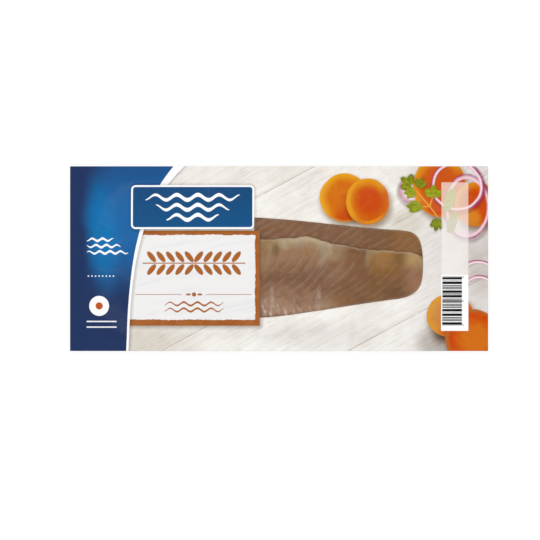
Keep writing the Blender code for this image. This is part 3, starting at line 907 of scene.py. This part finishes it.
def paint_belly(paint, mottle):
    """The front fillet's lighter flank and foot, its pale belly edge with painted highlights, its marks and
    its pale streaks.
    """
    belly = paint.attribute("belly")
    soft = paint.shaken(*MARK_WOBBLE)
    uneven = belly + (mottle - 0.5) * 0.020
    paint.lay(FLESH_LIGHT, uneven.ramp(0.0290, 0.0080) * paint.x.ramp(0.0560, 0.0340) * 0.85)
    foot = (paint.y + (mottle - 0.5) * 0.020).ramp(-0.0160, -0.0330) * paint.x.ramp(0.0440, 0.0240)
    paint.lay(FLESH_FOOT, foot * paint.x.ramp(-0.0085, -0.0050, 0.55, 0.88))
    depth = paint.noise(42.0, 3.0, 0.5).ramp(0.3, 0.7, 0.0050, 0.0105)
    pale = paint.blend(BELLY_BEIGE, BELLY_PALE, paint.x.ramp(-0.0080, 0.0060))
    grey = paint.noise(75.0, 2.0, 0.5).ramp(0.45, 0.62) * paint.x.ramp(-0.0080, 0.0040)
    pale = paint.blend(pale, BELLY_GREY, grey * 0.7)
    paint.lay(pale, ((depth - belly) / 0.0055).ramp(-0.5, 0.6) * 0.85)
    for centre, half, angle, colour, strength in MARKS:
        mark = paint.oval(centre, half, angle, soft)
        paint.lay(colour, mark.ramp(min(half) * 0.65, -min(half) * 0.65) * strength)
    streak_strength = paint.noise(260.0, 3.0, 0.6).ramp(0.35, 0.60, 0.35, 1.0)
    for centre, half, angle in STREAKS:
        streak = paint.oval(centre, (0.0015, half), angle, soft)
        paint.lay(PALE_STREAK, streak.ramp(0.0012, -0.0012) * streak_strength * 0.55)
    flecks = paint.noise(520.0, 2.0, 0.5, at=paint.point(paint.x + paint.y * 0.3, paint.y * 0.30))
    low = paint.y.ramp(-0.0250, -0.0340) * paint.x.ramp(0.0280, 0.0120)
    paint.lay(srgb(150, 102, 80), flecks.ramp(0.46, 0.36) * low * 0.50)
    paint.lay(srgb(230, 211, 201), flecks.ramp(0.56, 0.66) * low * 0.85)
    # Pale thin flesh at the belly edge with a painted highlight; a broader painted highlight over the crest
    edge = belly.ramp(0.0015, 0.0004) * mottle.ramp(0.62, 0.46, 0.30, 1.0)
    paint.lay(BELLY_RIM_AND_HIGHLIGHT, edge * paint.x.ramp(-0.0100, 0.0100, 0.45, 0.80))
    crest_highlight = belly.ramp(0.0040, 0.0008) * paint.x.ramp(-0.0080, 0.0160) * paint.x.ramp(0.0380, 0.0260)
    paint.lay(BELLY_RIM_AND_HIGHLIGHT, crest_highlight * 0.85)


def blurred(values, steps):
    """A map rounded off by a bell curve of that many steps, along both axes."""
    reach = int(math.ceil(steps * 3))
    weights = np.exp(-0.5 * (np.arange(-reach, reach + 1) / steps) ** 2)
    weights /= weights.sum()
    for axis in (0, 1):
        padded = np.pad(values, [(reach, reach) if k == axis else (0, 0) for k in (0, 1)], mode="edge")
        values = np.apply_along_axis(lambda row: np.convolve(row, weights, mode="valid"), axis, padded)
    return values


def probe(*nodes):
    """A search tree over the faces of CAD nodes."""
    points = []
    faces = []
    for node in nodes:
        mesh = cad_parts[node].data
        start = len(points)
        faces += [[start + v for v in face.vertices] for face in mesh.polygons]
        points += [v.co.copy() for v in mesh.vertices]
    return BVHTree.FromPolygons(points, faces)


def pack_grid(step, inset=0.0):
    """X and Y of the lines of a grid over the whole pack, about a step apart."""
    spans = ((LOW.x, HIGH.x), (LOW.y, HIGH.y))
    return [np.linspace(low + inset, high - inset, round((high - low) / step) + 1) for low, high in spans]


def heights(tree, x, y, from_above=True):
    """Heights at which rays along Z meet a tree, and not-a-number where they miss."""
    side = 1.0 if from_above else -1.0
    way = Vector((0.0, 0.0, -side))
    found = np.full(x.shape, np.nan)
    for index in np.ndindex(x.shape):
        hit = tree.ray_cast(Vector((x[index], y[index], side * RAY_START)), way)[0]
        if hit is not None:
            found[index] = hit.z
    return found


class HeightMap:
    """Heights over the whole pack, read off CAD nodes, rounded off and read back between its points."""

    def __init__(self, nodes, from_above=True):
        self.x, self.y = pack_grid(MAP_STEP)
        inner_x = np.clip(self.x, LOW.x + MAP_INSET, HIGH.x - MAP_INSET)
        inner_y = np.clip(self.y, LOW.y + MAP_INSET, HIGH.y - MAP_INSET)
        raw = heights(probe(*nodes), *np.meshgrid(inner_x, inner_y, indexing="ij"), from_above)
        around = np.pad(raw, 1, mode="edge")
        shifts = [around[i : i + raw.shape[0], j : j + raw.shape[1]] for i in range(3) for j in range(3)]
        middle = np.nanmedian(np.stack(shifts), axis=0)
        lost = np.isnan(raw) | (np.abs(raw - middle) > MAP_SPIKE)
        self.z = blurred(np.where(lost, middle, raw), FACET_BLUR / MAP_STEP)

    def slopes(self):
        """How steep the heights are at each point of the map."""
        return np.hypot(*np.gradient(self.z, self.x[1] - self.x[0]))

    def read(self, x, y, values=None):
        """The heights, or other values of the map's points, at x and y by bilinear mixing."""
        values = self.z if values is None else values
        column = np.clip((x - self.x[0]) / (self.x[1] - self.x[0]), 0, len(self.x) - MAP_END)
        row = np.clip((y - self.y[0]) / (self.y[1] - self.y[0]), 0, len(self.y) - MAP_END)
        i, j = column.astype(int), row.astype(int)
        a, b = column - i, row - j
        near = values[i, j] * (1 - b) + values[i, j + 1] * b
        far = values[i + 1, j] * (1 - b) + values[i + 1, j + 1] * b
        return near * (1 - a) + far * a


def smooth_step(value, start, end):
    """0 before start and 1 after end, smoothly."""
    share = np.clip((value - start) / (end - start), 0, 1)
    return share * share * (3 - 2 * share)


def edge_distance(x, y):
    """How far a point lies inside the pack's outline."""
    return np.minimum(np.minimum(x - LOW.x, HIGH.x - x), np.minimum(y - LOW.y, HIGH.y - y))


# Creases that the film draws round the fish: they run down its flanks, so they vary along its outline
END_MIDDLE = 0.080  # the ends' half circles turn about this X and its mirror
END_RADIUS = 0.045
CREASE_CYCLES = (37, 47, 59, 73, 89)
CREASE_EASE = 2.2  # brings the sum of the waves down
CREASE_HEIGHT = 0.00022
CREASE_SLOPE = (0.06, 0.30)  # where the film is steep enough for creases to begin, and to be full
RIPPLES = (9, 0.009, 0.018)  # how many waves, the shortest, and how much longer they can be
RIPPLE_EASE = 3.0
RIPPLE_HEIGHT = 0.00004
RELIEF_SEED = 11


def outline_run(x, y):
    """How far round the fish a point lies, as a share of one turn."""
    straight = 2 * END_MIDDLE
    bend = math.pi * END_RADIUS
    turn = 2 * (straight + bend)
    side = np.clip(x, -END_MIDDLE, END_MIDDLE)
    angle = np.arctan2(np.abs(x) - END_MIDDLE, np.abs(y))
    past = np.where(np.abs(x) > END_MIDDLE, angle * END_RADIUS, 0) * np.sign(x)
    upper = straight / 2 + side + past
    lower = straight + bend + straight / 2 - side - past
    return np.where(y >= 0, upper, lower) / turn


def ripples(x, y, count, shortest, spread, draw):
    """The sum of waves in random directions, each of them between shortest and shortest + spread long."""
    total = 0
    for _ in range(count):
        heading = draw.random() * math.tau
        length = shortest + spread * draw.random()
        along = x * math.cos(heading) + y * math.sin(heading)
        total = total + np.sin(math.tau * (along / length + draw.random()))
    return total


def film_relief(x, y, slope):
    """Creases where the film slopes down to the seam, and a faint ripple all over it."""
    draw = np.random.default_rng(RELIEF_SEED)
    run = outline_run(x, y)
    wave = sum(np.sin(math.tau * (n * run + draw.random())) for n in CREASE_CYCLES) / CREASE_EASE
    crease = np.clip(wave, 0, None) ** 2 * CREASE_HEIGHT * smooth_step(slope, *CREASE_SLOPE)
    return crease + ripples(x, y, *RIPPLES, draw) / RIPPLE_EASE * RIPPLE_HEIGHT


def curve_points(start, handles, end, count):
    """Points along a cubic curve, without its last one."""
    corners = [np.array(p) for p in (start, *handles, end)]
    points = []
    for k in range(count):
        t = k / count
        weights = ((1 - t) ** 3, 3 * t * (1 - t) ** 2, 3 * t * t * (1 - t), t**3)
        points.append(sum(w * p for w, p in zip(weights, corners)))
    return points


def window_outline():
    """The window's edge, clockwise from its top left corner, with a point about every millimetre."""
    outline = curve_points(WINDOW_TOP_LEFT, TOP_EDGE, WINDOW_TOP_RIGHT, 70)
    outline += curve_points(WINDOW_TOP_RIGHT, TOP_ROUND, WINDOW_TIP, 28)
    outline += curve_points(WINDOW_TIP, LOW_ROUND, WINDOW_LOW_RIGHT, 28)
    outline += curve_points(WINDOW_LOW_RIGHT, LOW_EDGE, WINDOW_LOW_LEFT, 70)
    corners = (WINDOW_LOW_LEFT, (WINDOW_LEFT, NOTCH_FLOOR), (WINDOW_NOTCH, NOTCH_FLOOR))
    outline += [np.array(corner) for corner in corners]
    dense = []
    for here, there in zip(outline, outline[1:] + outline[:1]):
        count = max(1, round(np.linalg.norm(there - here) / FILM_STEP))
        dense += [here + (there - here) * k / count for k in range(count)]
    return np.array(dense)


def outline_distance(outline, x, y):
    """How far points lie from a closed outline."""
    place = np.stack([x, y], -1)[:, None, :]
    start = outline[None]
    side = np.roll(outline, -1, axis=0)[None] - start
    share = np.clip(((place - start) * side).sum(-1) / (side * side).sum(-1), 0, 1)
    return np.linalg.norm(place - start - share[..., None] * side, axis=-1).min(1)


def film_plan():
    """The window's outline, points and faces over the whole pack, and which faces lie in the window."""
    outline = window_outline()
    x, y = (grid.ravel() for grid in np.meshgrid(*pack_grid(FILM_STEP, FILM_INSET), indexing="ij"))
    clear = outline_distance(outline, x, y) > FILM_STEP * OUTLINE_CLEAR
    flat = [Vector(p) for p in (*outline, *np.stack([x, y], -1)[clear])]
    ring = list(range(len(outline)))
    made, _, faces, _, _, owners = delaunay_2d_cdt(flat, [], [ring], 0, SAME_PLACE, True)
    in_window = np.array([not owner for owner in owners])  # a clockwise ring owns the faces outside it
    return outline, np.array([tuple(p) for p in made]), np.array([tuple(face) for face in faces]), in_window


def new_object(name, points, faces, material):
    """A mesh object with smooth faces, in the scene."""
    mesh = bpy.data.meshes.new(name)
    mesh.from_pydata([tuple(map(float, p)) for p in points], [], [tuple(map(int, f)) for f in faces])
    mesh.validate()
    mesh.materials.append(material)
    mesh.shade_smooth()
    piece = bpy.data.objects.new(name, mesh)
    bpy.context.scene.collection.objects.link(piece)
    return piece


def add_attribute(piece, name, values):
    """A number kept at each of a mesh's points."""
    made = piece.data.attributes.new(name, "FLOAT", "POINT")
    made.data.foreach_set("value", np.asarray(values, np.float32))


def thicken(piece):
    """Gives a sheet the films' thickness, downwards."""
    solidify = piece.modifiers.new("thickness", "SOLIDIFY")
    solidify.thickness = FILM
    solidify.offset = -1.0
    solidify.use_even_offset = False
    graph = bpy.context.evaluated_depsgraph_get()
    thick = piece.evaluated_get(graph)
    mesh = bpy.data.meshes.new_from_object(thick, preserve_all_data_layers=True, depsgraph=graph)
    piece.modifiers.clear()
    piece.data = mesh


def quads(piece):
    """Joins pairs of triangles into quads where they lie flat."""
    flat = math.radians(20)
    skew = math.radians(50)
    mesh = bmesh.new()
    mesh.from_mesh(piece.data)
    bmesh.ops.join_triangles(mesh, faces=mesh.faces, angle_face_threshold=flat, angle_shape_threshold=skew)
    mesh.to_mesh(piece.data)
    mesh.free()


def build_films():
    """The printed film, the clear window and the backing."""
    top = HeightMap(("printed_film", "window_film"))
    under = HeightMap(("backing_film",), from_above=False)
    outline, points, faces, in_window = film_plan()
    x, y = points[:, 0], points[:, 1]
    relief = film_relief(x, y, top.read(x, y, top.slopes()))
    fall = smooth_step(edge_distance(x, y), SEAL_WIDTH - SEAL_FADE / 2, SEAL_WIDTH + SEAL_FADE)
    welded = under.read(x, y) + 2 * FILM + WELD_GAP
    z = welded * (1 - fall) + (top.read(x, y) - FILM_DROP + relief) * fall
    points = np.column_stack([x, y, np.minimum(z, HIGH.z - TOP_GAP)])
    gap = outline_distance(outline, x, y)

    printed = split_piece("printed_film_skin", points, faces[~in_window], gap, printed_film_material())
    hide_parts("printed_film")
    window = split_piece("window_film_skin", points, faces[in_window], gap, clear_film_material())
    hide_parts("window_film")
    build_backing(under)


def split_piece(name, points, faces, gap, material):
    """A film from some of the plan's faces, with its own thickness."""
    used, again = np.unique(faces, return_inverse=True)
    piece = new_object(name, points[used], again.reshape(faces.shape), material)
    add_attribute(piece, "window_distance", gap[used])
    quads(piece)
    thicken(piece)
    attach(piece, "root")
    return piece


def build_backing(under):
    """The plain film that the pack rests on."""
    x, y = np.meshgrid(*pack_grid(BACKING_STEP, FILM_INSET), indexing="ij")
    z = np.maximum(under.read(x, y), 0) + FILM
    points = np.stack([x, y, z], -1).reshape(-1, 3)
    piece = new_object("backing_film_skin", points, grid_faces(*x.shape), backing_material())
    thicken(piece)
    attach(piece, "root")
    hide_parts("backing_film")


def grid_faces(columns, rows, start=0):
    """Quads over a grid of points, facing up."""
    i, j = np.meshgrid(np.arange(columns - 1), np.arange(rows - 1), indexing="ij")
    corner = start + (i * rows + j).ravel()
    return np.stack([corner, corner + rows, corner + rows + 1, corner + 1], -1)


# Fillets: how finely they are divided, and their muscle relief
FISH_STEP = 0.00065
FISH_COARSE = 0.0016  # where the print hides them
FISH_ACROSS = 84
SEEN_X = (WINDOW_NOTCH - 0.003, WINDOW_TIP[0] + 0.003)
GROOVE = 0.00014
GROOVE_SHARE = 0.13  # of a segment, to each side
BELLY_INSET = 0.0004
BELLY_WAVES = ((0.0140, 0.00016), (0.0062, 0.00013), (0.0031, 0.00010), (0.0017, 0.00005))  # length, height
BELLY_CREST = ((0.0205, 0.0055, 0.0009), (0.0115, 0.0035, -0.0005))  # X, breadth and how far it stands out
PLAIN_END = 0.012  # how far from both ends the belly edge is even
FRONT_MUSCLE = (0.0072, 0.47, 24.0)  # pitch, lean and bend of the pale lines
BACK_MUSCLE = (0.0083, 1.55, 0.0)
MUSCLE_RIPPLES = (7, 0.012, 0.030)  # as RIPPLES
MUSCLE_WARP = 0.050
CROWDED = 0.6  # how far the rows crowd towards both rims
PROBE_INSET = 0.0004  # keeps the rays off the solid's ends
PROBE_SHARE = 0.02  # and off its rims
PROBE_BLUR = 3.0  # in points
THINNEST = 0.0002
LIP_ROUND = 0.0030
LIP_SHARE = 0.15  # of its thickness that the rim keeps


def fish_stations(low, high):
    """X of the sections: close together in the window and at both ends."""
    ends = 0.5 - 0.5 * np.cos(np.linspace(0.02, math.pi - 0.02, round((high - low) / FISH_COARSE)))
    coarse = low + (high - low) * ends
    fine = np.arange(SEEN_X[0], SEEN_X[1], FISH_STEP)
    outside = coarse[(coarse < SEEN_X[0] - FISH_STEP) | (coarse > SEEN_X[1] + FISH_STEP)]
    return np.sort(np.concatenate([outside, fine]))


def section_edges(node, stations):
    """The lowest and the highest Y of a node's section at each X."""
    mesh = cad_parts[node].data
    ends = np.array([[mesh.vertices[v].co[:] for v in edge.vertices] for edge in mesh.edges])
    low = []
    high = []
    for x in stations:
        here = ends[(ends[:, 0, 0] - x) * (ends[:, 1, 0] - x) <= 0]
        run = here[:, 1, 0] - here[:, 0, 0]
        upright = np.abs(run) < 1e-9
        share = np.where(upright, 0, (x - here[:, 0, 0]) / np.where(upright, 1, run))
        y = here[:, 0, 1] + share * (here[:, 1, 1] - here[:, 0, 1])
        low.append(y.min())
        high.append(y.max())
    return np.array(low), np.array(high)


def muscle_phase(x, y, pitch, lean, bend, draw):
    """Which muscle segment a point lies in: whole numbers are the pale lines between them."""
    shift = lean * y - bend * y * y
    return (x - shift) / pitch + ripples(x, y, *MUSCLE_RIPPLES, draw) * MUSCLE_WARP


def belly_edge(stations, belly, end, front, draw):
    """The solid's belly edge pulled in a little and made uneven, and on the front fillet crested."""
    waves = [np.sin(math.tau * (stations / length + draw.random())) * size for length, size in BELLY_WAVES]
    belly = belly - BELLY_INSET + sum(waves) * (np.abs(stations) < end - PLAIN_END)
    if front:
        for middle, width, rise in BELLY_CREST:
            belly += np.exp(-(((stations - middle) / width) ** 2)) * rise
    return belly


def build_fillet(name, node, muscle, seed, front):
    """One fillet over its CAD solid, with its muscle relief and a rounded, slightly ragged rim."""
    draw = np.random.default_rng(seed)
    low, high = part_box(node)
    stations = fish_stations(low.x, high.x)
    back, belly = section_edges(node, stations)
    belly = belly_edge(stations, belly, high.x, front, draw)
    back, belly = back[:, None], belly[:, None]
    even = np.linspace(-1, 1, FISH_ACROSS)
    share = (np.sin(even * math.pi / 2) * CROWDED + even * (1 - CROWDED) + 1) / 2
    x = np.repeat(stations[:, None], FISH_ACROSS, 1)
    y = back + (belly - back) * share
    inner_x = np.clip(x, low.x + PROBE_INSET, high.x - PROBE_INSET)
    inner_y = back + (belly - back) * (PROBE_SHARE + (1 - 2 * PROBE_SHARE) * share)
    tree = probe(node)
    top = blurred(heights(tree, inner_x, inner_y), PROBE_BLUR)
    bottom = blurred(heights(tree, inner_x, inner_y, from_above=False), PROBE_BLUR)

    rim = np.minimum(y - back, belly - y)
    rounding = np.sqrt(np.clip(1 - (1 - np.clip(rim / LIP_ROUND, 0, 1)) ** 2, 0, 1))
    phase = muscle_phase(x, y, *muscle, draw)
    part = phase - np.floor(phase)
    groove = np.exp(-((np.minimum(part, 1 - part) / GROOVE_SHARE) ** 2)) * GROOVE
    thickness = (top - bottom - groove) * (LIP_SHARE + (1 - LIP_SHARE) * rounding)
    top = bottom + np.clip(thickness, THINNEST, None)

    points = np.concatenate([np.stack([x, y, z], -1).reshape(-1, 3) for z in (bottom, top)])
    lower = grid_faces(*x.shape)[:, ::-1]
    faces = np.concatenate([grid_faces(*x.shape, x.size), lower, rim_faces(*x.shape)])
    piece = new_object(name, points, faces, flesh_material(name, front))
    window = outline_distance(window_outline(), x.ravel(), y.ravel())
    for label, values in (("muscle", phase), ("belly", belly - y), ("window_distance", window)):
        add_attribute(piece, label, np.tile(values.ravel(), 2))
    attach(piece, "root")
    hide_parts(node)


def rim_faces(columns, rows):
    """Quads round the edge of a grid that join it to a second grid, whose points follow the first one's."""
    rim = [i * rows for i in range(columns)]
    rim += [(columns - 1) * rows + j for j in range(1, rows)]
    rim += [i * rows + rows - 1 for i in range(columns - 2, -1, -1)]
    rim += list(range(rows - 2, 0, -1))
    lift = columns * rows
    after = rim[1:] + rim[:1]
    return np.array([[here, there, there + lift, here + lift] for here, there in zip(rim, after)])


# The stage
FLOOR_HALF = 6.0
FLOOR_DROP = 0.00005  # keeps it clear of the backing
FLOOR_LOOKS = {
    "Base Color": (0.36, 0.36, 0.36, 1.0),
    "Roughness": 0.9,
    "Specular IOR Level": 0.1,
    "Emission Color": (1.0, 1.0, 1.0, 1.0),
    "Emission Strength": 0.66,
}
SOFTBOXES = ((135, 3.2), (45, 3.0), (225, 2.8), (315, 2.8))  # azimuth and power
SOFTBOX_RISE = math.radians(40)
SOFTBOX_AWAY = 1.0
SOFTBOX_SIZE = 0.7
SKY_RISE = (0.10, 0.75)  # from this share of the way up to that one
SKY_GLOW = (0.95, 0.25)  # its strength falls from this to that


def build_stage():
    """A plain pale floor, soft lights all round and the camera straight above."""
    corners = [(x * FLOOR_HALF, y * FLOOR_HALF, 0) for x, y in ((-1, -1), (1, -1), (1, 1), (-1, 1))]
    floor = new_object("floor", corners, [(0, 1, 2, 3)], new_material("floor", FLOOR_LOOKS)[0])
    floor.location.z = -FLOOR_DROP

    for azimuth, power in SOFTBOXES:
        add_softbox(math.radians(azimuth), power)
    build_world()

    scene = bpy.context.scene
    scene.view_settings.view_transform = "Standard"
    data = bpy.data.cameras.new("camera")
    data.lens = LENS
    data.sensor_width = SENSOR
    camera = bpy.data.objects.new("camera", data)
    camera.location = (*PHOTO_MIDDLE, PHOTO_SPAN * LENS / SENSOR)
    scene.collection.objects.link(camera)
    scene.camera = camera


def add_softbox(turn, power):
    """One large area light that faces the pack."""
    data = bpy.data.lights.new("softbox", "AREA")
    data.energy = power
    data.size = SOFTBOX_SIZE
    light = bpy.data.objects.new("softbox", data)
    level = math.cos(SOFTBOX_RISE)
    away = Vector((math.cos(turn) * level, math.sin(turn) * level, math.sin(SOFTBOX_RISE)))
    light.location = away * SOFTBOX_AWAY
    light.rotation_mode = "QUATERNION"
    light.rotation_quaternion = away.to_track_quat("Z", "Y")
    bpy.context.scene.collection.objects.link(light)


def build_world():
    """Bright round the horizon and dim overhead, so that flat gloss stays clear when seen from above."""
    world = bpy.data.worlds.new("studio")
    bpy.context.scene.world = world
    world.use_nodes = True
    tree = world.node_tree
    split = new_node(tree, "SeparateXYZ", (new_node(tree, "TexCoord").outputs["Generated"],))
    strength = Field(tree, split.outputs[2]).ramp(*SKY_RISE, *SKY_GLOW)
    plug_all(tree, tree.nodes["Background"], {"Color": (1.0, 1.0, 1.0, 1.0), "Strength": strength})


build_stage()
build_fillet("fillet_front_flesh", "fillet_front", FRONT_MUSCLE, seed=3, front=True)
build_fillet("fillet_back_flesh", "fillet_back", BACK_MUSCLE, seed=5, front=False)
build_films()
